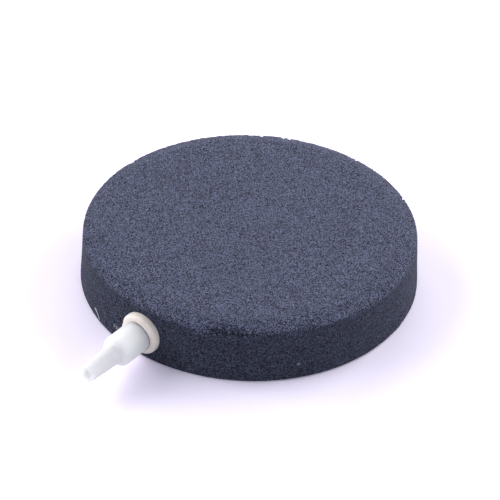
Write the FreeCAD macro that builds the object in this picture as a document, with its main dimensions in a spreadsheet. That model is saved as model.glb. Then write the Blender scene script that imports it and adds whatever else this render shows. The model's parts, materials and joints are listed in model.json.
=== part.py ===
import FreeCAD, Part
import math
import os

import Sketcher
from FreeCAD import Vector

# A fine bubble disc diffuser: a flat disc of bonded mineral grit with a closed air chamber
# inside it, a flanged bush bonded into a socket in its side, and a stepped hose nozzle
# pushed into the bush. The origin is the centre of the disc's foot, +Z is up and the
# nozzle points along -Y. All lengths are in millimetres.

SIZES = [
    # The bonded grit disc.
    ("base_diameter", 100.0, "disc across its foot, where it is widest"),
    ("disc_height", 17.5, "foot to flat top"),
    ("wall_draft", 1.25, "how far the side wall leans in on its way up"),
    ("bevel_width", 4.4, "shallow bevel round the top, seen from above"),
    ("bevel_drop", 1.2, "how far that bevel falls to the rim"),
    ("foot_chamfer", 0.5, "bevelled edge of the foot"),
    ("rim_radius", 0.8, "rounding where the bevel meets the wall"),
    ("plateau_radius", 6.0, "soft blend where the bevel meets the flat top"),
    # The air chamber inside the grit.
    ("side_thickness", 14.0, "grit between the chamber and the edge of the foot"),
    ("chamber_height", 4.0, "chamber from floor to roof"),
    ("chamber_chamfer", 1.2, "bevels round the chamber's floor and roof"),
    ("socket_overrun", 1.5, "how far the bush's socket runs into the chamber"),
    # Where the bush sits.
    ("nozzle_height", 7.8, "axis of the bush and nozzle above the foot"),
    ("seat_depth", 1.15, "flat seat of the flange below the side wall"),
    ("seat_gap", 0.1, "room round the flange in its seat"),
    ("bond_gap", 0.1, "film of adhesive round the bush's stem"),
    # The flanged bush.
    ("flange_diameter", 12.5, "flange across"),
    ("flange_thickness", 2.75, "flange front to back"),
    ("flange_edge_radius", 1.1, "rounding of the flange's front edge"),
    ("flange_chamfer", 0.3, "bevel of the flange's back edge"),
    ("stem_length", 11.0, "stem behind the flange"),
    ("stem_wall", 1.15, "wall of the stem round the nozzle's spigot"),
    ("stem_chamfer", 0.5, "lead-in at the stem's inner end"),
    # The stepped nozzle.
    ("spigot_diameter", 6.0, "spigot in the bush"),
    ("spigot_length", 10.5, "spigot behind the barrel"),
    ("spigot_chamfer", 0.4, "lead-in at the spigot's inner end"),
    ("spigot_gap", 0.05, "running room round the spigot in the bush"),
    ("barrel_diameter", 9.1, "barrel that takes the wider hose"),
    ("barrel_length", 9.6, "barrel from the flange to the shoulder"),
    ("shoulder_radius", 1.3, "rounding of the barrel's shoulder"),
    ("tip_root_diameter", 5.8, "tapered tip where it leaves the shoulder"),
    ("tip_end_diameter", 4.6, "tapered tip at its end"),
    ("tip_length", 11.2, "tapered tip from the shoulder to its end"),
    ("tip_chamfer", 0.45, "bevel of the tip's end"),
    ("air_bore_diameter", 2.6, "air way right through the nozzle"),
]

# The disc's section.
BASE_RADIUS = "Sizes.base_diameter / 2"
RIM_RADIUS = "Sizes.base_diameter / 2 - Sizes.wall_draft"
TOP_RADIUS = "Sizes.base_diameter / 2 - Sizes.wall_draft - Sizes.bevel_width"
WALL_HEIGHT = "Sizes.disc_height - Sizes.bevel_drop"

# The chamber, centred on the height of the nozzle's axis.
CHAMBER_RADIUS = "Sizes.base_diameter / 2 - Sizes.side_thickness"
CHAMBER_FLOOR = "Sizes.nozzle_height - Sizes.chamber_height / 2"
CHAMBER_ROOF = "Sizes.nozzle_height + Sizes.chamber_height / 2"

# The flange's seat is a flat, square to the nozzle, cut into the leaning wall.
WALL_AT_NOZZLE = (
    "(Sizes.base_diameter / 2 - Sizes.wall_draft * Sizes.nozzle_height"
    " / (Sizes.disc_height - Sizes.bevel_drop))"
)
SEAT_DISTANCE = WALL_AT_NOZZLE + " - Sizes.seat_depth"

# The bush, measured outwards from the inner end of its stem.
BUSH_BORE_RADIUS = "Sizes.spigot_diameter / 2 + Sizes.spigot_gap"
STEM_RADIUS = BUSH_BORE_RADIUS + " + Sizes.stem_wall"
FLANGE_RADIUS = "Sizes.flange_diameter / 2"
FLANGE_FRONT = "Sizes.stem_length + Sizes.flange_thickness"

# The nozzle, measured outwards from the inner end of its spigot.
AIR_BORE_RADIUS = "Sizes.air_bore_diameter / 2"
SPIGOT_RADIUS = "Sizes.spigot_diameter / 2"
BARREL_RADIUS = "Sizes.barrel_diameter / 2"
SHOULDER = "Sizes.spigot_length + Sizes.barrel_length"
TIP_ROOT_RADIUS = "Sizes.tip_root_diameter / 2"
TIP_END_RADIUS = "Sizes.tip_end_diameter / 2"
TIP_END = "Sizes.spigot_length + Sizes.barrel_length + Sizes.tip_length"

NEAR = 1e-4


def driving_sheet(doc):
    """Put each driving size in a cell of its own, under its name."""
    sheet = doc.addObject("Spreadsheet::Sheet", "Sizes")
    for row, (name, value, meaning) in enumerate(SIZES, start=1):
        sheet.set("A%d" % row, name)
        sheet.set("B%d" % row, str(value))
        sheet.setAlias("B%d" % row, name)
        sheet.set("C%d" % row, meaning)
    doc.recompute()


def value_of(body, expression):
    """Work out an expression of the sheet's sizes as a plain number."""
    return float(body.evalExpression(expression))


def origin_plane(body, role):
    """Find one of the body's own origin planes by its role."""
    return next(item for item in body.Origin.OriginFeatures if item.Role == role)


def new_body(doc, name):
    """Start a sub-part under the name that its file takes."""
    body = doc.addObject("PartDesign::Body", name)
    body.Label = name
    return body


def new_sketch(body, name, plane):
    """Start a sketch on one of the body's origin planes."""
    sketch = body.newObject("Sketcher::SketchObject", name)
    sketch.AttachmentSupport = (origin_plane(body, plane), [""])
    sketch.MapMode = "FlatFace"
    return sketch


def hold(sketch, kind, first, second, expression):
    """Keep a distance from the sketch's origin, or a size, equal to an expression."""
    value = value_of(sketch, expression)
    if kind == "Radius":
        number = sketch.addConstraint(Sketcher.Constraint(kind, first, value))
    else:
        number = sketch.addConstraint(
            Sketcher.Constraint(kind, -1, 1, first, second, value)
        )
    sketch.setExpression("Constraints[%d]" % number, expression)


def place_corner(sketch, element, radius, height):
    """Hold a corner at its radius and height, or on an axis where one of them is nothing."""
    for kind, axis, expression in (("DistanceX", -2, radius), ("DistanceY", -1, height)):
        if expression == "0":
            sketch.addConstraint(Sketcher.Constraint("PointOnObject", element, 1, axis))
        else:
            hold(sketch, kind, element, 1, expression)


def rounding(before, corner, after, radius):
    """The start, middle and end of the arc that rounds a corner between two sides."""
    back = (before - corner).normalize()
    onward = (after - corner).normalize()
    half = back.getAngle(onward) / 2
    inward = (back + onward).normalize()
    trim = radius / math.tan(half)
    middle = corner + inward * (radius / math.sin(half) - radius)
    return corner + back * trim, middle, corner + onward * trim


def section(body, name, corners):
    """Draw a half section beside the body's Z axis.

    Each corner is its radius and its height, and the radius of its rounding if it has one.
    """
    sketch = new_sketch(body, name, "XZ_Plane")
    points = [Vector(value_of(body, c[0]), value_of(body, c[1]), 0) for c in corners]
    arcs = {}
    for index, corner in enumerate(corners):
        if len(corner) == 3:
            after = points[(index + 1) % len(points)]
            radius = value_of(body, corner[2])
            arcs[index] = rounding(points[index - 1], points[index], after, radius)
    for index, point in enumerate(points):
        after = (index + 1) % len(points)
        start = arcs[index][2] if index in arcs else point
        end = arcs[after][0] if after in arcs else points[after]
        sketch.addGeometry(Part.LineSegment(start, end), False)
    for index, corner in enumerate(corners):
        side_before = (index - 1) % len(corners)
        if index not in arcs:
            join = Sketcher.Constraint("Coincident", side_before, 2, index, 1)
            sketch.addConstraint(join)
            place_corner(sketch, index, corner[0], corner[1])
            continue
        round_corner(sketch, side_before, index, points[index], arcs[index], corner)
    return sketch


def round_corner(sketch, side_before, side_after, point, path, corner):
    """Draw one rounding, tangent to both sides, with its corner held where they meet."""
    arc = sketch.addGeometry(Part.Arc(*path), False)
    sketch.addConstraint(Sketcher.Constraint("Tangent", side_before, 2, arc, 1))
    sketch.addConstraint(Sketcher.Constraint("Tangent", arc, 2, side_after, 1))
    hold(sketch, "Radius", arc, 0, corner[2])
    meeting = sketch.addGeometry(Part.Point(point), True)
    for side in (side_before, side_after):
        sketch.addConstraint(Sketcher.Constraint("PointOnObject", meeting, 1, side))
    place_corner(sketch, meeting, corner[0], corner[1])


def turn(body, kind, name, sketch):
    """Turn a half section about the body's Z axis, to add or to take away."""
    feature = body.newObject(kind, name)
    feature.Profile = sketch
    feature.ReferenceAxis = (sketch, ["V_Axis"])
    feature.Angle = 360.0
    body.Document.recompute()


def side_hole(body, name, diameter, depth):
    """Sink a round hole into the disc's side on the nozzle's axis, from the foot's edge."""
    sketch = new_sketch(body, name + "_circle", "XZ_Plane")
    sketch.setExpression("AttachmentOffset.Base.z", BASE_RADIUS)
    height = value_of(body, "Sizes.nozzle_height")
    radius = value_of(body, diameter) / 2
    sketch.addGeometry(Part.Circle(Vector(0, height, 0), Vector(0, 0, 1), radius), False)
    sketch.addConstraint(Sketcher.Constraint("PointOnObject", 0, 3, -2))
    number = sketch.addConstraint(Sketcher.Constraint("DistanceY", -1, 1, 0, 3, height))
    sketch.setExpression("Constraints[%d]" % number, "Sizes.nozzle_height")
    number = sketch.addConstraint(Sketcher.Constraint("Diameter", 0, 2 * radius))
    sketch.setExpression("Constraints[%d]" % number, diameter)
    pocket = body.newObject("PartDesign::Pocket", name)
    pocket.Profile = sketch
    pocket.Type = "Length"
    pocket.setExpression("Length", depth)
    body.Document.recompute()


def ring_edges(body, rings):
    """Name the circular edges of the body's tip that lie at each (radius, height)."""
    wanted = [(value_of(body, radius), value_of(body, height)) for radius, height in rings]
    names = []
    for number, edge in enumerate(body.Tip.Shape.Edges, start=1):
        curve = edge.Curve
        if not isinstance(curve, Part.Circle):
            continue
        for radius, height in wanted:
            if abs(curve.Radius - radius) < NEAR and abs(curve.Center.z - height) < NEAR:
                names.append("Edge%d" % number)
    return names


def chamfer(body, name, size, rings):
    """Bevel the rings of the body's tip that lie at each (radius, height)."""
    names = ring_edges(body, rings)
    if len(names) != len(rings):
        raise RuntimeError("%s found %d of %d rings" % (name, len(names), len(rings)))
    base = body.Tip
    feature = body.newObject("PartDesign::Chamfer", name)
    feature.Base = (base, names)
    feature.setExpression("Size", size)
    body.Document.recompute()


def stone_disc(doc):
    """The bonded grit disc, with its closed chamber and the stepped socket in its side."""
    body = new_body(doc, "stone_disc")
    outline = [
        ("0", "0"),
        (BASE_RADIUS, "0"),
        (RIM_RADIUS, WALL_HEIGHT, "Sizes.rim_radius"),
        (TOP_RADIUS, "Sizes.disc_height", "Sizes.plateau_radius"),
        ("0", "Sizes.disc_height"),
    ]
    turn(body, "PartDesign::Revolution", "grit", section(body, "disc_section", outline))
    chamfer(body, "foot_bevel", "Sizes.foot_chamfer", outline[1:2])
    chamber = [
        ("0", CHAMBER_FLOOR),
        (CHAMBER_RADIUS, CHAMBER_FLOOR),
        (CHAMBER_RADIUS, CHAMBER_ROOF),
        ("0", CHAMBER_ROOF),
    ]
    turn(body, "PartDesign::Groove", "air_chamber", section(body, "core_section", chamber))
    chamfer(body, "chamber_bevels", "Sizes.chamber_chamfer", chamber[1:3])
    side_hole(
        body,
        "flange_seat",
        "Sizes.flange_diameter + 2 * Sizes.seat_gap",
        BASE_RADIUS + " - (" + SEAT_DISTANCE + ")",
    )
    side_hole(
        body,
        "stem_socket",
        "2 * (" + STEM_RADIUS + " + Sizes.bond_gap)",
        "Sizes.side_thickness + Sizes.socket_overrun",
    )
    return body


def lay_along_nozzle(body, inner_end):
    """Lay a turned piece along -Y at the nozzle's height, with its inner end in place."""
    quarter_turn = FreeCAD.Rotation(Vector(1, 0, 0), 90)
    body.Placement = FreeCAD.Placement(Vector(0, 0, 0), quarter_turn)
    body.setExpression("Placement.Base.y", "-(" + inner_end + ")")
    body.setExpression("Placement.Base.z", "Sizes.nozzle_height")
    body.Document.recompute()


def inlet_bush(doc):
    """The flanged bush: its flange on the seat, its stem down the socket."""
    body = new_body(doc, "inlet_bush")
    outline = [
        (BUSH_BORE_RADIUS, "0"),
        (STEM_RADIUS, "0"),
        (STEM_RADIUS, "Sizes.stem_length"),
        (FLANGE_RADIUS, "Sizes.stem_length"),
        (FLANGE_RADIUS, FLANGE_FRONT, "Sizes.flange_edge_radius"),
        (BUSH_BORE_RADIUS, FLANGE_FRONT),
    ]
    turn(body, "PartDesign::Revolution", "bush", section(body, "bush_section", outline))
    chamfer(body, "flange_bevel", "Sizes.flange_chamfer", outline[3:4])
    chamfer(body, "stem_lead_in", "Sizes.stem_chamfer", outline[1:2])
    lay_along_nozzle(body, SEAT_DISTANCE + " - Sizes.stem_length")
    return body


def stepped_nozzle(doc):
    """The nozzle: spigot in the bush, barrel on the flange, tapered tip, bore right through."""
    body = new_body(doc, "stepped_nozzle")
    outline = [
        (AIR_BORE_RADIUS, "0"),
        (SPIGOT_RADIUS, "0"),
        (SPIGOT_RADIUS, "Sizes.spigot_length"),
        (BARREL_RADIUS, "Sizes.spigot_length"),
        (BARREL_RADIUS, SHOULDER, "Sizes.shoulder_radius"),
        (TIP_ROOT_RADIUS, SHOULDER),
        (TIP_END_RADIUS, TIP_END),
        (AIR_BORE_RADIUS, TIP_END),
    ]
    turn(body, "PartDesign::Revolution", "nozzle", section(body, "nozzle_section", outline))
    chamfer(body, "spigot_lead_in", "Sizes.spigot_chamfer", outline[1:2])
    chamfer(body, "tip_bevel", "Sizes.tip_chamfer", outline[6:7])
    lay_along_nozzle(
        body, SEAT_DISTANCE + " + Sizes.flange_thickness - Sizes.spigot_length"
    )
    return body


def check_document(doc, bodies):
    """Stop if any object failed, any piece is unsound or any cut took nothing away."""
    for item in doc.Objects:
        if "Invalid" in item.State or "Error" in item.State:
            raise RuntimeError("%s failed to build" % item.Label)
    for body in bodies:
        shape = body.Shape
        if shape.isNull() or not shape.isValid() or len(shape.Solids) != 1:
            raise RuntimeError("%s isn't one sound solid" % body.Label)
    for item in doc.Objects:
        if item.TypeId in ("PartDesign::Groove", "PartDesign::Pocket"):
            if item.Shape.Volume >= item.BaseFeature.Shape.Volume:
                raise RuntimeError("%s cuts nothing" % item.Label)


def main():
    doc = FreeCAD.newDocument("disc_diffuser")
    driving_sheet(doc)
    bodies = [stone_disc(doc), inlet_bush(doc), stepped_nozzle(doc)]
    doc.recompute()
    check_document(doc, bodies)
    os.makedirs("parts", exist_ok=True)
    for body in bodies:
        body.Shape.exportStep("parts/" + body.Label + ".step")
        print("%s %.1f mm3" % (body.Label, body.Shape.Volume))


main()
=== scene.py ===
"""The looks of a fine bubble disc diffuser: a disc of bonded grit with a stepped hose nozzle.

Everything is in metres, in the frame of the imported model: the disc's foot is centred on the
origin, +Z is up and the nozzle points along -Y. An azimuth round the disc is counted in
degrees from the nozzle, towards +X.
"""

import json
import math

import bmesh
import bpy
import numpy as np
from mathutils import Matrix, Vector, noise


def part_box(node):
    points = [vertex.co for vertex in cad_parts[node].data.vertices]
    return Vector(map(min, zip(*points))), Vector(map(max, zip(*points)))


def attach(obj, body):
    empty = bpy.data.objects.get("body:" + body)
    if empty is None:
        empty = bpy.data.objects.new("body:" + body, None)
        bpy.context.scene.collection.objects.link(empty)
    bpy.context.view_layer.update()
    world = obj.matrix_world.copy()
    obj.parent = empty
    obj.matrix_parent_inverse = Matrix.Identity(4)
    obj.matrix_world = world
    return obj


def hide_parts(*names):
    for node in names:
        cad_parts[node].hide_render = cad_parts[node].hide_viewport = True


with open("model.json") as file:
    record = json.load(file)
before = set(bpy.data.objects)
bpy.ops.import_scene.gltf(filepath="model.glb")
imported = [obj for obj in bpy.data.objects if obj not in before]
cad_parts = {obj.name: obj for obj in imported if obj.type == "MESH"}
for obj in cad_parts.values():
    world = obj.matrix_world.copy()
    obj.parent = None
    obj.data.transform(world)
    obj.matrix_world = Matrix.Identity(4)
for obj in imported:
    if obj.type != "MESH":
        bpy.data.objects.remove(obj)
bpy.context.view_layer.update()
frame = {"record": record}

MM = 0.001
SEED = 7

# ---------------------------------------------------------------- sizes

# From the frame.
DISC_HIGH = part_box("stone_disc")[1]
BUSH_LOW, BUSH_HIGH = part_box("inlet_bush")
MOUNTS = {mount["name"]: mount for mount in frame["record"]["mounts"]}
BASE_RADIUS = DISC_HIGH.x
DISC_HEIGHT = DISC_HIGH.z
NOZZLE_HEIGHT = MOUNTS["hose_barrel"]["pos_m"][2]
FLANGE_RADIUS = BUSH_HIGH.x
FLANGE_FRONT = -BUSH_LOW.y
STEM_END = -BUSH_HIGH.y
NOZZLE_LOW, NOZZLE_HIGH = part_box("stepped_nozzle")
BARREL_RADIUS = NOZZLE_HIGH.x
SPIGOT_END = -NOZZLE_HIGH.y
TIP_END = -NOZZLE_LOW.y

# The sizes of the disc, its hollows, the bush and the nozzle that the frame doesn't give.
WALL_DRAFT = 1.25 * MM
BEVEL_WIDTH = 4.4 * MM
BEVEL_DROP = 1.2 * MM
RIM_ROUNDING = 0.8 * MM
PLATEAU_ROUNDING = 6.0 * MM
FOOT_CHAMFER = 0.5 * MM
FLANGE_THICKNESS = 2.75 * MM
STEM_RADIUS = 4.2 * MM
BUSH_BORE_RADIUS = 3.05 * MM
SPIGOT_RADIUS = 3.0 * MM
SHOULDER_REACH = 60.6 * MM
TIP_ROOT_RADIUS = 2.9 * MM
TIP_END_RADIUS = 2.3 * MM
AIR_BORE_RADIUS = 1.3 * MM
SEAT_GAP = 0.1 * MM
SOCKET_RADIUS = 4.3 * MM
SOCKET_END = 34.5 * MM
CHAMBER_RADIUS = 36.0 * MM
CHAMBER_HEIGHT = 4.0 * MM
CHAMBER_CHAMFER = 1.2 * MM

RIM_RADIUS = BASE_RADIUS - WALL_DRAFT
TOP_RADIUS = RIM_RADIUS - BEVEL_WIDTH
WALL_HEIGHT = DISC_HEIGHT - BEVEL_DROP

# ---------------------------------------------------------------- small helpers


def new_object(name, vertices, faces):
    """Make a smooth-shaded mesh object from points and faces, turned to face outwards."""
    mesh = bpy.data.meshes.new(name)
    mesh.from_pydata([tuple(v) for v in vertices], [], faces)
    shell = bmesh.new()
    shell.from_mesh(mesh)
    bmesh.ops.recalc_face_normals(shell, faces=shell.faces)
    shell.to_mesh(mesh)
    shell.free()
    mesh.polygons.foreach_set("use_smooth", [True] * len(mesh.polygons))
    piece = bpy.data.objects.new(name, mesh)
    bpy.context.scene.collection.objects.link(piece)
    return piece


def around(azimuth, radius, height):
    """A point at an azimuth, a radius and a height."""
    turn = math.radians(azimuth)
    return Vector((radius * math.sin(turn), -radius * math.cos(turn), height))


def polar(points):
    """The radius and the azimuth of each point."""
    radii = np.hypot(points[:, 0], points[:, 1])
    azimuths = np.degrees(np.arctan2(points[:, 0], -points[:, 1]))
    return radii, azimuths


def angle_between(first, second):
    """How far apart two azimuths are."""
    return np.abs((first - second + 180.0) % 360.0 - 180.0)


def bell(azimuths, middle, half_width):
    """1 at the middle azimuth, falling off smoothly to both sides of it."""
    away = angle_between(azimuths, middle) / half_width
    return np.exp(-away * away)


def noise_at(points, size, seed):
    """Smooth noise from -1 to 1 at each point, with lumps of the given size."""
    shift = Vector((seed, 2.0 * seed, 3.0 * seed))
    return np.array([noise.noise(Vector(p) / size + shift) for p in points])


# ---------------------------------------------------------------- the grit disc's skin

GRAIN_STEP = 0.385 * MM
UNDER_STEP = 0.8 * MM
# Each ring of the top has this many points more than the ring inside it, so that its
# triangles are nearly equal-sided. That gives the step along a ring.
MORE_EACH_RING = 6
RING_STEP = 2 * math.pi / MORE_EACH_RING * GRAIN_STEP
# How far a point is shaken along its ring, as a share of the step.
SHAKE = 0.28
CORNER_STEPS = 6


def rounded_corner(before, corner, after, radius, steps):
    """Points of the arc that rounds a corner between two sides."""
    back = (before - corner).normalized()
    onward = (after - corner).normalized()
    half = back.angle(onward) / 2
    centre = corner + (back + onward).normalized() * (radius / math.sin(half))
    start = corner + back * (radius / math.tan(half)) - centre
    end = corner + onward * (radius / math.tan(half)) - centre
    sweep = start.angle_signed(end)
    turns = [-sweep * step / steps for step in range(steps + 1)]
    return [centre + Matrix.Rotation(turn, 2) @ start for turn in turns]


def disc_profile():
    """The half section from the middle of the top to the foot, as (radius, height)."""
    middle = Vector((0.0, DISC_HEIGHT))
    plateau = Vector((TOP_RADIUS, DISC_HEIGHT))
    rim = Vector((RIM_RADIUS, WALL_HEIGHT))
    foot = Vector((BASE_RADIUS, 0.0))
    profile = [middle]
    profile += rounded_corner(middle, plateau, rim, PLATEAU_ROUNDING, CORNER_STEPS)
    profile += rounded_corner(plateau, rim, foot, RIM_ROUNDING, CORNER_STEPS)
    profile.append(foot + (rim - foot).normalized() * FOOT_CHAMFER)
    profile.append(foot - Vector((FOOT_CHAMFER, 0.0)))
    return profile


def even_points(profile, step):
    """Points every step along a profile."""
    points = np.array([tuple(p) for p in profile])
    lengths = np.r_[0.0, np.cumsum(np.linalg.norm(np.diff(points, axis=0), axis=1))]
    at = np.linspace(0.0, lengths[-1], round(lengths[-1] / step) + 1)
    radii = np.interp(at, lengths, points[:, 0])
    heights = np.interp(at, lengths, points[:, 1])
    return list(zip(radii, heights))


def ring_of(radius, height, count, index, rng):
    """One ring of points, staggered against its neighbours and shaken along its length."""
    shake = rng.uniform(-SHAKE, SHAKE, count)
    angle = 2 * math.pi * (np.arange(count) + 0.5 * (index % 2) + shake) / count
    return np.c_[
        radius * np.sin(angle), -radius * np.cos(angle), np.full(count, height)
    ]


def skin_rings(rng):
    """Rings of points from the middle of the top, down the wall and in under the foot."""
    profile = even_points(disc_profile(), GRAIN_STEP)
    most = round(2 * math.pi * BASE_RADIUS / RING_STEP)
    rings = [np.array([[0.0, 0.0, DISC_HEIGHT]])]
    for index, (radius, height) in enumerate(profile[1:], start=1):
        count = min(MORE_EACH_RING * index, most)
        rings.append(ring_of(radius, height, count, index, rng))
    radius = profile[-1][0] - UNDER_STEP
    while radius > 2 * UNDER_STEP:
        count = round(2 * math.pi * radius / UNDER_STEP)
        rings.append(ring_of(radius, 0.0, count, len(rings), rng))
        radius -= UNDER_STEP
    rings.append(np.array([[0.0, 0.0, 0.0]]))
    return rings


def stitch(first, second):
    """Triangles between two closed rings of point numbers, whatever their counts."""
    triangles = []
    i = j = 0
    n, m = len(first), len(second)
    while i < n or j < m:
        if j >= m or (i < n and (i + 1) * m <= (j + 1) * n):
            triangles.append((first[i % n], second[j % m], first[(i + 1) % n]))
            i += 1
        else:
            triangles.append((first[i % n], second[j % m], second[(j + 1) % m]))
            j += 1
    return triangles


def fan(tip, ring):
    """Triangles from one point to each side of a ring."""
    return [(tip, ring[k], ring[(k + 1) % len(ring)]) for k in range(len(ring))]


def skin_mesh(rng):
    """The disc's closed outer skin, still smooth."""
    rings = skin_rings(rng)
    starts = np.r_[0, np.cumsum([len(ring) for ring in rings])]
    numbers = [range(starts[k], starts[k + 1]) for k in range(len(rings))]
    faces = fan(numbers[0][0], numbers[1])
    for first, second in zip(numbers[1:-2], numbers[2:-1]):
        faces += stitch(first, second)
    faces += fan(numbers[-1][0], numbers[-2][::-1])
    return new_object("grit_disc", np.vstack(rings), faces)


# ---------------------------------------------------------------- roughening the skin

GRAIN_HEIGHT = 0.02 * MM
GRAIN_LIMIT = 2.2
LUMP_SIZE = 1.1 * MM
LUMP_HEIGHT = 0.04 * MM
LUMP_SEED = 3.1
SWELL_SIZE = 9.0 * MM
SWELL_HEIGHT = 0.07 * MM
SWELL_SEED = 5.7
# The whole skin is sunk by this, so that its grains and swells stand out of the solid by less.
SUNK = 0.06 * MM
# Points lower than this stay smooth, so that the disc stands flat.
UNDERSIDE = 0.2 * MM
RIM_REACH = 0.9 * MM

# Crumbs are missing where the noise, raised by CRUMB_BIAS, is above 0.
CRUMB_SIZE = 0.8 * MM
CRUMB_DEPTH = 1.7 * MM
CRUMB_BIAS = 0.15
CRUMB_SEED = 9.3
EVERYWHERE = 0.14

# The stretch of the front rim whose edge is broken away.
BROKEN_AZIMUTH = 28.5
BROKEN_HALF_WIDTH = 10.0
BROKEN_DEPTH = 0.6 * MM
BROKEN_REACH = 1.9 * MM
BROKEN_GRAIN = 0.55 * MM
BROKEN_CONTRAST = 3.4
BROKEN_SEED = 2.3

# Where the rim has crumbled: azimuth, half width in degrees, how badly, and how much paler.
CRUMBLED = [
    (19.5, 3.5, 0.7, 1.6),
    (31.5, 6.5, 1.3, 0.25),
    (-93.5, 1.6, 2.0, 0.3),
    (-147.0, 2.8, 2.2, 0.3),
    (-157.0, 3.6, 2.2, 0.3),
    (175.5, 1.8, 1.8, 0.2),
    (146.0, 1.6, 1.6, 0.2),
]

# Painted shade: the wall's grit is darkened against the top's, from a soft edge just below the rim,
# to stand in for the lower light that the wall gets.
WALL_PAINTED_SHADE = 0.6
WALL_EDGE = 0.8 * MM

# Pale specks on the wall: azimuth, height, half width and half height.
SPECKS = [
    (-12.4, 4.1 * MM, 0.2 * MM, 0.42 * MM),
    (-11.1, 4.2 * MM, 0.2 * MM, 0.42 * MM),
    (53.2, 5.0 * MM, 0.24 * MM, 0.24 * MM),
]
# How far inside the rim's radius a speck still marks the skin; the chamber lies further in.
SPECK_REACH = 1.0 * MM


def crumbling(azimuths):
    """How badly the rim has crumbled at each azimuth."""
    badly = np.full(len(azimuths), EVERYWHERE)
    for azimuth, half_width, share, _ in CRUMBLED:
        badly += share * bell(azimuths, azimuth, half_width)
    return badly


def broken(azimuths):
    """1 in the middle of the broken stretch of the rim, and 0 well away from it."""
    return np.exp(-((angle_between(azimuths, BROKEN_AZIMUTH) / BROKEN_HALF_WIDTH) ** 4))


def near_rim(points):
    """1 at the rim, and 0 well away from it; the broken stretch reaches further."""
    radii, azimuths = polar(points)
    to_rim = np.hypot(radii - RIM_RADIUS, points[:, 2] - WALL_HEIGHT)
    reach = RIM_REACH + (BROKEN_REACH - RIM_REACH) * broken(azimuths)
    return np.exp(-((to_rim / reach) ** 2))


def roughen(piece, rng):
    """Raise and sink the skin's points into grains, lumps and a crumbled rim."""
    mesh = piece.data
    points = np.array([v.co for v in mesh.vertices])
    normals = np.array([v.normal for v in mesh.vertices])
    _, azimuths = polar(points)
    at_rim = near_rim(points)
    rise = GRAIN_HEIGHT * rng.normal(size=len(points)).clip(-GRAIN_LIMIT, GRAIN_LIMIT)
    rise += LUMP_HEIGHT * noise_at(points, LUMP_SIZE, LUMP_SEED)
    rise += SWELL_HEIGHT * noise_at(points, SWELL_SIZE, SWELL_SEED)
    crumbs = (noise_at(points, CRUMB_SIZE, CRUMB_SEED) + CRUMB_BIAS).clip(0.0, 1.0)
    rise -= CRUMB_DEPTH * at_rim * crumbling(azimuths) * crumbs
    rise -= BROKEN_DEPTH * at_rim * broken(azimuths)
    rise -= SUNK
    rise[points[:, 2] < UNDERSIDE] = 0.0
    points += normals * rise[:, None]
    points[:, 2] = points[:, 2].clip(0.0, DISC_HEIGHT)
    mesh.vertices.foreach_set("co", points.ravel())
    mesh.update()


def wear_and_painted_shade(points):
    """How much paler, or darker below 0, the worn rim is at each point, with the painted shade that
    darkens the wall.
    """
    radii, azimuths = polar(points)
    wear_and_shade = BROKEN_CONTRAST * noise_at(points, BROKEN_GRAIN, BROKEN_SEED) * broken(azimuths)
    for azimuth, half_width, _, paler in CRUMBLED:
        wear_and_shade += paler * bell(azimuths, azimuth, half_width)
    wear_and_shade *= near_rim(points)
    below_rim = ((WALL_HEIGHT - points[:, 2]) / WALL_EDGE).clip(0.0, 1.0)
    # Painted shade: the outer wall below the rim is darkened, not the chamber's walls further in.
    wear_and_shade -= WALL_PAINTED_SHADE * below_rim * (radii > RIM_RADIUS - BROKEN_REACH)
    return wear_and_shade


def speckle(points):
    """1 in the middle of each pale speck on the wall, and 0 away from them."""
    radii, azimuths = polar(points)
    pale = np.zeros(len(points))
    for azimuth, height, half_width, half_height in SPECKS:
        across = np.radians(angle_between(azimuths, azimuth)) * BASE_RADIUS / half_width
        along = (points[:, 2] - height) / half_height
        pale += np.exp(-(across * across + along * along)) * (radii > RIM_RADIUS - SPECK_REACH)
    return pale.clip(0.0, 1.0)


def mark_skin(piece):
    """Store the wear with the wall's painted shade, and the specks, at the skin's points, for its
    material to read.
    """
    points = np.array([v.co for v in piece.data.vertices])
    for name, values in (("wear_and_shade", wear_and_painted_shade(points)), ("pale", speckle(points))):
        stored = piece.data.attributes.new(name, "FLOAT", "POINT")
        stored.data.foreach_set("value", values)


# ---------------------------------------------------------------- the hollows in the disc

CHAMBER_STEPS = 96
SOCKET_STEPS = 64
# How far the tool that cuts the seat stands out of the wall.
TOOL_OVERHANG = 5.0 * MM


def turned(name, profile, steps, place):
    """A closed turned solid from (radius, height) points, with both ends on its axis."""
    vertices = []
    faces = []
    for radius, height in profile[1:-1]:
        for step in range(steps):
            turn = 2 * math.pi * step / steps
            vertices.append((radius * math.cos(turn), radius * math.sin(turn), height))
    rows = len(profile) - 2
    for row in range(rows - 1):
        for step in range(steps):
            here, there = row * steps, (row + 1) * steps
            onward = (step + 1) % steps
            faces.append((here + step, here + onward, there + onward, there + step))
    faces.append(tuple(reversed(range(steps))))
    faces.append(tuple(range((rows - 1) * steps, rows * steps)))
    piece = new_object(name, vertices, faces)
    piece.data.transform(place)
    return piece


def carve(piece, tool):
    """Cut a closed solid out of a closed piece, and throw the solid away."""
    cut = piece.modifiers.new("cut", "BOOLEAN")
    cut.operation = "DIFFERENCE"
    cut.solver = "EXACT"
    cut.object = tool
    bpy.context.view_layer.update()
    graph = bpy.context.evaluated_depsgraph_get()
    result = bpy.data.meshes.new_from_object(piece.evaluated_get(graph))
    piece.modifiers.clear()
    piece.data = result
    bpy.data.objects.remove(tool)


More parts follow.
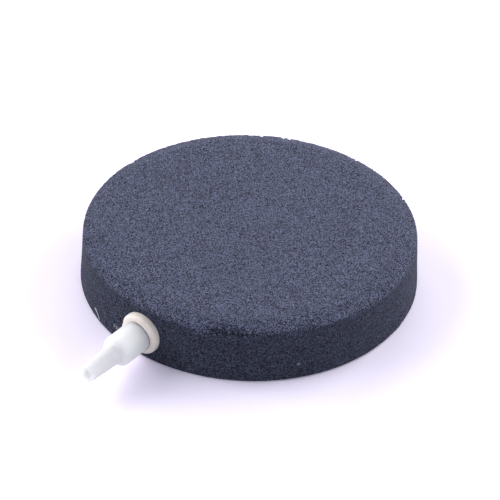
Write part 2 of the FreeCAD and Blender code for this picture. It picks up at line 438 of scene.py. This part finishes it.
def carve_hollows(piece):
    """Cut the flange's seat, the stem's socket and the air chamber into the disc."""
    along_nozzle = Matrix.Translation((0.0, 0.0, NOZZLE_HEIGHT)) @ Matrix.Rotation(
        math.radians(90.0), 4, "X"
    )
    seat = FLANGE_FRONT - FLANGE_THICKNESS
    outside = BASE_RADIUS + TOOL_OVERHANG
    socket = [
        (0.0, SOCKET_END),
        (SOCKET_RADIUS, SOCKET_END),
        (SOCKET_RADIUS, seat),
        (FLANGE_RADIUS + SEAT_GAP, seat),
        (FLANGE_RADIUS + SEAT_GAP, outside),
        (0.0, outside),
    ]
    half = CHAMBER_HEIGHT / 2
    chamber = [
        (0.0, -half),
        (CHAMBER_RADIUS - CHAMBER_CHAMFER, -half),
        (CHAMBER_RADIUS, CHAMBER_CHAMFER - half),
        (CHAMBER_RADIUS, half - CHAMBER_CHAMFER),
        (CHAMBER_RADIUS - CHAMBER_CHAMFER, half),
        (0.0, half),
    ]
    at_height = Matrix.Translation((0.0, 0.0, NOZZLE_HEIGHT))
    carve(piece, turned("chamber_cut", chamber, CHAMBER_STEPS, at_height))
    carve(piece, turned("socket_cut", socket, SOCKET_STEPS, along_nozzle))


rng = np.random.default_rng(SEED)
grit = skin_mesh(rng)
roughen(grit, rng)
carve_hollows(grit)
mark_skin(grit)

# ---------------------------------------------------------------- a fibre on the wall

FIBRE_RADIUS = 0.12 * MM
FIBRE_STEPS = 12
FIBRE_SIDES = 8
# Azimuth, height and distance off the wall of the fibre's ends and of the pull of its bend.
FIBRE_START = (-24.3, 3.6 * MM, 0.25 * MM)
FIBRE_BEND = (-22.5, 3.5 * MM, 0.3 * MM)
FIBRE_END = (-21.2, 1.3 * MM, 0.0)


def on_wall(azimuth, height, off):
    """A point a little off the disc's wall."""
    wall = BASE_RADIUS - WALL_DRAFT * height / WALL_HEIGHT
    return around(azimuth, wall + off, height)


def tube(name, path, radius, sides):
    """A closed tube along a path."""
    vertices = [path[0]]
    for index, point in enumerate(path):
        ahead = path[min(index + 1, len(path) - 1)] - path[max(index - 1, 0)]
        across = ahead.orthogonal().normalized()
        for side in range(sides):
            spin = Matrix.Rotation(2 * math.pi * side / sides, 3, ahead)
            vertices.append(point + spin @ across * radius)
    vertices.append(path[-1])
    rings = [range(1 + sides * k, 1 + sides * (k + 1)) for k in range(len(path))]
    faces = fan(0, rings[0])
    for first, second in zip(rings, rings[1:]):
        faces += stitch(first, second)
    faces += fan(len(vertices) - 1, rings[-1])
    return new_object(name, vertices, faces)


def fibre_piece():
    """The pale fibre caught on the wall, in one bend."""
    start = on_wall(*FIBRE_START)
    bend = on_wall(*FIBRE_BEND)
    end = on_wall(*FIBRE_END)
    path = []
    for step in range(FIBRE_STEPS + 1):
        t = step / FIBRE_STEPS
        path.append(start * (1 - t) ** 2 + bend * 2 * t * (1 - t) + end * t * t)
    return tube("caught_fibre", path, FIBRE_RADIUS, FIBRE_SIDES)


fibre = fibre_piece()

# ---------------------------------------------------------------- the bush and the nozzle

TURNS = 96
SHARP = math.radians(35.0)
ROUNDING_STEPS = 7

STEM_ROUNDING = 0.5 * MM
FLANGE_BACK_ROUNDING = 0.3 * MM
FLANGE_FRONT_ROUNDING = 1.25 * MM
SPIGOT_ROUNDING = 0.4 * MM
# The shoulder slopes from this far before its reach to this far after it.
SHOULDER_SPREAD = 0.5 * MM
SHOULDER_ROUNDING = 1.9 * MM
TIP_ROOT_ROUNDING = 1.3 * MM
TIP_END_ROUNDING = 0.7 * MM
BORE_ROUNDING = 0.25 * MM


def softened(corners):
    """A closed outline from (radius, reach, rounding) corners."""
    points = [Vector((radius, reach)) for radius, reach, _ in corners]
    outline = []
    for index, (_, _, rounding) in enumerate(corners):
        point = points[index]
        if rounding == 0.0:
            outline.append(point)
            continue
        after = points[(index + 1) % len(points)]
        outline += rounded_corner(points[index - 1], point, after, rounding, ROUNDING_STEPS)
    return outline


def lathe(name, outline):
    """Turn a closed (radius, reach) outline about the nozzle's axis, which runs along -Y."""
    vertices = []
    faces = []
    count = len(outline)
    for step in range(TURNS):
        turn = 2 * math.pi * step / TURNS
        for radius, reach in outline:
            height = NOZZLE_HEIGHT + radius * math.sin(turn)
            vertices.append((radius * math.cos(turn), -reach, height))
        here, there = step * count, (step + 1) % TURNS * count
        for k in range(count):
            onward = (k + 1) % count
            faces.append((here + k, here + onward, there + onward, there + k))
    piece = new_object(name, vertices, faces)
    piece.data.set_sharp_from_angle(angle=SHARP)
    return piece


def bush_piece():
    """The flanged bush, with a full rounding on the flange's front edge."""
    seat = FLANGE_FRONT - FLANGE_THICKNESS
    outline = softened(
        [
            (BUSH_BORE_RADIUS, STEM_END, 0.0),
            (STEM_RADIUS, STEM_END, STEM_ROUNDING),
            (STEM_RADIUS, seat, 0.0),
            (FLANGE_RADIUS, seat, FLANGE_BACK_ROUNDING),
            (FLANGE_RADIUS, FLANGE_FRONT, FLANGE_FRONT_ROUNDING),
            (BUSH_BORE_RADIUS, FLANGE_FRONT, 0.0),
        ]
    )
    return lathe("flanged_bush", outline)


def nozzle_piece():
    """The nozzle, whose shoulder runs into the tip in one soft double curve."""
    outline = softened(
        [
            (AIR_BORE_RADIUS, SPIGOT_END, 0.0),
            (SPIGOT_RADIUS, SPIGOT_END, SPIGOT_ROUNDING),
            (SPIGOT_RADIUS, FLANGE_FRONT, 0.0),
            (BARREL_RADIUS, FLANGE_FRONT, 0.0),
            (BARREL_RADIUS, SHOULDER_REACH - SHOULDER_SPREAD, SHOULDER_ROUNDING),
            (TIP_ROOT_RADIUS, SHOULDER_REACH + SHOULDER_SPREAD, TIP_ROOT_ROUNDING),
            (TIP_END_RADIUS, TIP_END, TIP_END_ROUNDING),
            (AIR_BORE_RADIUS, TIP_END, BORE_ROUNDING),
        ]
    )
    return lathe("hose_nozzle", outline)


# The chip's place round the flange is counted in degrees from +X, towards +Z.
CHIP_ANGLE = 167.0
CHIP_HALF_WIDTH = 9.0
CHIP_DEPTH = 0.3 * MM
CHIP_REACH = 1.3 * MM
FLANGE_UNEVEN = 0.06 * MM
FLANGE_LUMP = 1.4 * MM
# The rim is sunk where the noise, raised by this, is above 0.
FLANGE_BIAS = 0.5


def chip_flange(piece):
    """Make the flange's rim a little uneven, with one small chip out of it."""
    for vertex in piece.data.vertices:
        across = Vector((vertex.co.x, vertex.co.z - NOZZLE_HEIGHT))
        if across.length < FLANGE_RADIUS - CHIP_REACH:
            continue
        angle = math.degrees(math.atan2(across.y, across.x))
        away = (angle - CHIP_ANGLE) / CHIP_HALF_WIDTH
        uneven = FLANGE_UNEVEN * (FLANGE_BIAS + noise.noise(vertex.co / FLANGE_LUMP))
        sink = CHIP_DEPTH * math.exp(-away * away) + max(uneven, 0.0)
        inward = across.normalized() * sink
        vertex.co.x -= inward.x
        vertex.co.z -= inward.y
    piece.data.update()


bush = bush_piece()
chip_flange(bush)
nozzle = nozzle_piece()

# ---------------------------------------------------------------- materials


def new_material(name):
    """A node material, its nodes and its shader."""
    material = bpy.data.materials.new(name)
    material.use_nodes = True
    nodes = material.node_tree.nodes
    return material, nodes, nodes["Principled BSDF"]


def add_node(nodes, kind, **settings):
    """Add a node with its settings and the values of its named inputs."""
    node = nodes.new(kind)
    for name, value in settings.items():
        if hasattr(node, name):
            setattr(node, name, value)
        else:
            node.inputs[name].default_value = value
    return node


def ranged(nodes, link, source, before, after):
    """Map a varying number from one range onto another."""
    node = nodes.new("ShaderNodeMapRange")
    names = ("From Min", "From Max", "To Min", "To Max")
    for name, value in zip(names, before + after):
        node.inputs[name].default_value = value
    link(source, node.inputs["Value"])
    return node.outputs["Result"]


def colour_ramp(nodes, link, source, first, last, span=(0.0, 1.0)):
    """Colours that run from one to another while a number crosses a span."""
    ramp = add_node(nodes, "ShaderNodeValToRGB")
    for element, at, colour in zip(ramp.color_ramp.elements, span, (first, last)):
        element.position = at
        element.color = (*colour, 1.0)
    link(source, ramp.inputs["Fac"])
    return ramp.outputs["Color"]


# The span that the values of a noise texture mostly lie in.
NOISE_SPAN = (0.3, 0.7)

GRAIN_SIZE = 0.2 * MM
GRAIN_DEPTH = 0.05 * MM
GRIT_COLOUR = Vector((0.064, 0.071, 0.115))
# The darkest and the palest grains, as shares of that colour.
GRIT_DARKEST = 0.1
GRIT_PALEST = 2.45
GRIT_SPAN = (0.3, 0.95)
GRIT_ROUGHNESS = (0.75, 0.95)
MOTTLE_SIZE = 4.0 * MM
MOTTLE_LEVELS = (0.92, 1.08)
# What the stored wear and painted wall shade span, and the brightness that their ends give; a value
# of 0 gives 1.
WEAR_AND_SHADE_SPAN = (-1.0, 2.0)
WEAR_AND_SHADE_LEVELS = (0.2, 2.6)
SPECK_COLOUR = (0.55, 0.56, 0.60, 1.0)

# A Mix node's colour sockets share their names with its other kinds, so they go by number.
MIX_SHARE = 0
MIX_FIRST = 6
MIX_SECOND = 7
MIX_RESULT = 2


def grit_material():
    """Blue-grey mineral grains, each with its own shade, mottled and worn at the rim, with painted
    shade darkening the wall.
    """
    material, nodes, shader = new_material("bonded_grit")
    link = material.node_tree.links.new
    place = add_node(nodes, "ShaderNodeTexCoord")
    cells = add_node(nodes, "ShaderNodeTexVoronoi", feature="F1", Scale=1 / GRAIN_SIZE)
    link(place.outputs["Object"], cells.inputs["Vector"])
    shade = add_node(nodes, "ShaderNodeSeparateColor")
    link(cells.outputs["Color"], shade.inputs["Color"])
    darkest = GRIT_COLOUR * GRIT_DARKEST
    palest = GRIT_COLOUR * GRIT_PALEST
    grains = colour_ramp(nodes, link, shade.outputs["Red"], darkest, palest, GRIT_SPAN)

    clouds = add_node(nodes, "ShaderNodeTexNoise", Scale=1 / MOTTLE_SIZE, Detail=4.0)
    link(place.outputs["Object"], clouds.inputs["Vector"])
    mottle = ranged(nodes, link, clouds.outputs["Fac"], NOISE_SPAN, MOTTLE_LEVELS)
    # The stored value carries the rim's wear and the wall's painted shade.
    wear_and_shade = add_node(nodes, "ShaderNodeAttribute", attribute_name="wear_and_shade")
    wear_and_shade_level = ranged(nodes, link, wear_and_shade.outputs["Fac"], WEAR_AND_SHADE_SPAN, WEAR_AND_SHADE_LEVELS)
    level = add_node(nodes, "ShaderNodeMath", operation="MULTIPLY")
    link(mottle, level.inputs[0])
    link(wear_and_shade_level, level.inputs[1])
    shaded = add_node(nodes, "ShaderNodeVectorMath", operation="SCALE")
    link(grains, shaded.inputs[0])
    link(level.outputs[0], shaded.inputs["Scale"])

    pale = add_node(nodes, "ShaderNodeAttribute", attribute_name="pale")
    specked = add_node(nodes, "ShaderNodeMix", data_type="RGBA")
    specked.inputs[MIX_SECOND].default_value = SPECK_COLOUR
    link(pale.outputs["Fac"], specked.inputs[MIX_SHARE])
    link(shaded.outputs[0], specked.inputs[MIX_FIRST])
    link(specked.outputs[MIX_RESULT], shader.inputs["Base Color"])

    roughness = ranged(nodes, link, shade.outputs["Green"], (0.0, 1.0), GRIT_ROUGHNESS)
    link(roughness, shader.inputs["Roughness"])
    shader.inputs["Specular IOR Level"].default_value = 0.15
    bump = add_node(nodes, "ShaderNodeBump", Strength=0.5, Distance=GRAIN_DEPTH)
    bump.invert = True
    link(cells.outputs["Distance"], bump.inputs["Height"])
    link(bump.outputs["Normal"], shader.inputs["Normal"])
    return material


CLOUD_SIZE = 3.0 * MM
MOULD_SIZE = 0.12 * MM
MOULD_DEPTH = 0.006 * MM


def moulded_plastic(name, deeper, paler, glossiest, dullest):
    """Moulded plastic with a faint clouding of its colour and gloss, and a fine texture."""
    material, nodes, shader = new_material(name)
    link = material.node_tree.links.new
    place = add_node(nodes, "ShaderNodeTexCoord")
    clouds = add_node(nodes, "ShaderNodeTexNoise", Scale=1 / CLOUD_SIZE, Detail=3.0)
    link(place.outputs["Object"], clouds.inputs["Vector"])
    colour = colour_ramp(nodes, link, clouds.outputs["Fac"], deeper, paler)
    link(colour, shader.inputs["Base Color"])
    gloss = ranged(nodes, link, clouds.outputs["Fac"], NOISE_SPAN, (glossiest, dullest))
    link(gloss, shader.inputs["Roughness"])
    texture = add_node(nodes, "ShaderNodeTexNoise", Scale=1 / MOULD_SIZE, Detail=2.0)
    link(place.outputs["Object"], texture.inputs["Vector"])
    bump = add_node(nodes, "ShaderNodeBump", Strength=0.4, Distance=MOULD_DEPTH)
    link(texture.outputs["Fac"], bump.inputs["Height"])
    link(bump.outputs["Normal"], shader.inputs["Normal"])
    return material, shader


def let_light_in(shader, weight, radius, scale):
    """Make a plastic translucent, with how far each colour of light goes into it."""
    shader.inputs["Subsurface Weight"].default_value = weight
    shader.inputs["Subsurface Radius"].default_value = radius
    shader.inputs["Subsurface Scale"].default_value = scale


def ivory_material():
    """The bush's slightly yellow, fairly dull plastic, which lets a little light in."""
    deeper = (0.78, 0.70, 0.63)
    paler = (0.89, 0.82, 0.76)
    material, shader = moulded_plastic("ivory_plastic", deeper, paler, glossiest=0.4, dullest=0.55)
    let_light_in(shader, weight=0.5, radius=(1.0, 0.8, 0.6), scale=1.0 * MM)
    return material


def milky_material():
    """The nozzle's translucent plastic, which light soaks through."""
    deeper = (0.98, 0.94, 0.995)
    paler = (0.998, 0.97, 1.0)
    material, shader = moulded_plastic("milky_plastic", deeper, paler, glossiest=0.28, dullest=0.42)
    let_light_in(shader, weight=1.0, radius=(0.95, 1.0, 0.9), scale=6.5 * MM)
    return material


def fibre_material():
    """The fibre's pale lint."""
    deeper = (0.7, 0.7, 0.74)
    paler = (0.85, 0.85, 0.9)
    material, _ = moulded_plastic("pale_lint", deeper, paler, glossiest=0.7, dullest=0.9)
    return material


def dress(piece, material):
    """Give a piece one material."""
    piece.data.materials.clear()
    piece.data.materials.append(material)


dress(grit, grit_material())
dress(bush, ivory_material())
dress(nozzle, milky_material())
dress(fibre, fibre_material())

for piece, node, slot in (
    (grit, "stone_disc", "bonded_grit"),
    (bush, "inlet_bush", "ivory_plastic"),
    (nozzle, "stepped_nozzle", "milky_plastic"),
):
    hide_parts(node)
    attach(piece, "root")
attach(fibre, "root")

# ---------------------------------------------------------------- camera

CAMERA_AZIMUTH = 36.31
CAMERA_ELEVATION = 37.9
CAMERA_ROLL = 1.9
CAMERA_DISTANCE = 0.5
CAMERA_LENS = 120.95
SENSOR_WIDTH = 36.0
CLIP_START = 10.0 * MM
AIM_UP = 5.99 * MM
AIM_RIGHT = 0.26 * MM


def looking(place, target, up):
    """The placement of something at a place that looks at a target."""
    view = (target - place).normalized()
    right = view.cross(up).normalized()
    turned_axes = Matrix((right, right.cross(view), -view)).transposed()
    return Matrix.Translation(place) @ turned_axes.to_4x4()


def add_camera():
    """The camera, turned by its roll and aimed a little above the disc."""
    data = bpy.data.cameras.new("camera")
    data.lens = CAMERA_LENS
    data.sensor_width = SENSOR_WIDTH
    data.clip_start = CLIP_START
    camera = bpy.data.objects.new("camera", data)
    bpy.context.scene.collection.objects.link(camera)
    tilt = math.radians(CAMERA_ELEVATION)
    level = CAMERA_DISTANCE * math.cos(tilt)
    place = around(CAMERA_AZIMUTH, level, CAMERA_DISTANCE * math.sin(tilt))
    straight = looking(place, Vector((0.0, 0.0, 0.0)), Vector((0.0, 0.0, 1.0)))
    rolled = straight.to_3x3() @ Matrix.Rotation(math.radians(CAMERA_ROLL), 3, "Z")
    aim = rolled @ Vector((AIM_RIGHT, AIM_UP, 0.0))
    camera.matrix_world = looking(place, aim, rolled @ Vector((0.0, 1.0, 0.0)))
    bpy.context.scene.camera = camera


# ---------------------------------------------------------------- floor and light

FLOOR_WIDTH = 6.0
FLOOR_DROP = 0.05 * MM
# Where the floor is seen, its coats add up to more than white, so that it shows as white
# under these lamps. The light that it throws onto the disc comes from the paper alone.
FLOOR_COATS = 2
FLOOR_COAT = (0.58, 0.54, 0.63, 1.0)
FLOOR_PAPER = (0.85, 0.85, 0.87, 1.0)
SKY = (0.72, 0.84, 1.0, 1.0)
SKY_STRENGTH = 0.06
BACKDROP = (1.0, 1.0, 1.0, 1.0)


def seen_plainly(nodes, link):
    """1 for the rays that show the backdrop: to the camera, mirrored or let through."""
    path = add_node(nodes, "ShaderNodeLightPath")
    shown = path.outputs["Is Camera Ray"]
    for name in ("Is Glossy Ray", "Is Transmission Ray"):
        either = add_node(nodes, "ShaderNodeMath", operation="MAXIMUM")
        link(shown, either.inputs[0])
        link(path.outputs[name], either.inputs[1])
        shown = either.outputs[0]
    return shown


def floor_material():
    """Pale paper, and where it is seen coats of white that still take the shadow."""
    material, nodes, shader = new_material("floor")
    link = material.node_tree.links.new
    nodes.remove(shader)
    output = nodes["Material Output"]
    seen = add_node(nodes, "ShaderNodeAddShader")
    for coat in range(FLOOR_COATS):
        white = add_node(nodes, "ShaderNodeBsdfDiffuse", Color=FLOOR_COAT)
        link(white.outputs[0], seen.inputs[coat])
    bounce = add_node(nodes, "ShaderNodeBsdfDiffuse", Color=FLOOR_PAPER)
    mix = add_node(nodes, "ShaderNodeMixShader")
    link(seen_plainly(nodes, link), mix.inputs["Fac"])
    link(bounce.outputs[0], mix.inputs[1])
    link(seen.outputs[0], mix.inputs[2])
    link(mix.outputs[0], output.inputs["Surface"])
    return material


def add_floor():
    """A wide floor just under the disc's foot."""
    half = FLOOR_WIDTH / 2
    corners = [(-half, -half), (half, -half), (half, half), (-half, half)]
    floor = new_object("floor", [(x, y, -FLOOR_DROP) for x, y in corners], [(0, 1, 2, 3)])
    dress(floor, floor_material())


LAMP_DISTANCE = 1.2
LAMP_WIDTH = 0.8
WHITE = (1.0, 1.0, 1.0)
COOL = (0.84, 0.87, 1.0)

# Each lamp's azimuth from the camera, elevation, power in watts and colour.
LAMPS = {
    "back_left_lamp": (-125.0, 25.0, 6.8, WHITE),
    "left_lamp": (-95.0, 32.0, 7.3, WHITE),
    "back_lamp": (180.0, 25.0, 5.5, WHITE),
    "back_right_lamp": (125.0, 25.0, 10.2, WHITE),
    "right_lamp": (95.0, 25.0, 4.9, WHITE),
    "top_lamp": (180.0, 88.0, 1.6, WHITE),
    "front_left_lamp": (-60.0, 25.0, 2.9, COOL),
    "front_right_lamp": (35.0, 20.0, 4.3, COOL),
}


def add_lamp(name, azimuth, elevation, power, colour):
    """A square soft lamp that looks at the disc; its azimuth is counted from the camera."""
    data = bpy.data.lights.new(name, "AREA")
    data.shape = "SQUARE"
    data.size = LAMP_WIDTH
    data.energy = power
    data.color = colour
    lamp = bpy.data.objects.new(name, data)
    bpy.context.scene.collection.objects.link(lamp)
    tilt = math.radians(elevation)
    level = LAMP_DISTANCE * math.cos(tilt)
    place = around(CAMERA_AZIMUTH + azimuth, level, LAMP_DISTANCE * math.sin(tilt))
    lamp.matrix_world = looking(place, Vector((0.0, 0.0, 0.0)), Vector((0.0, 0.0, 1.0)))


def add_world():
    """A weak sky, and a white backdrop where it is seen."""
    world = bpy.data.worlds.new("world")
    world.use_nodes = True
    nodes = world.node_tree.nodes
    link = world.node_tree.links.new
    plain = nodes["Background"]
    plain.inputs["Color"].default_value = SKY
    plain.inputs["Strength"].default_value = SKY_STRENGTH
    white = add_node(nodes, "ShaderNodeBackground", Color=BACKDROP, Strength=1.0)
    mix = add_node(nodes, "ShaderNodeMixShader")
    link(seen_plainly(nodes, link), mix.inputs["Fac"])
    link(plain.outputs[0], mix.inputs[1])
    link(white.outputs[0], mix.inputs[2])
    link(mix.outputs[0], nodes["World Output"].inputs["Surface"])
    bpy.context.scene.world = world


add_camera()
add_floor()
add_world()
for name, settings in LAMPS.items():
    add_lamp(name, *settings)
bpy.context.scene.view_settings.view_transform = "Standard"
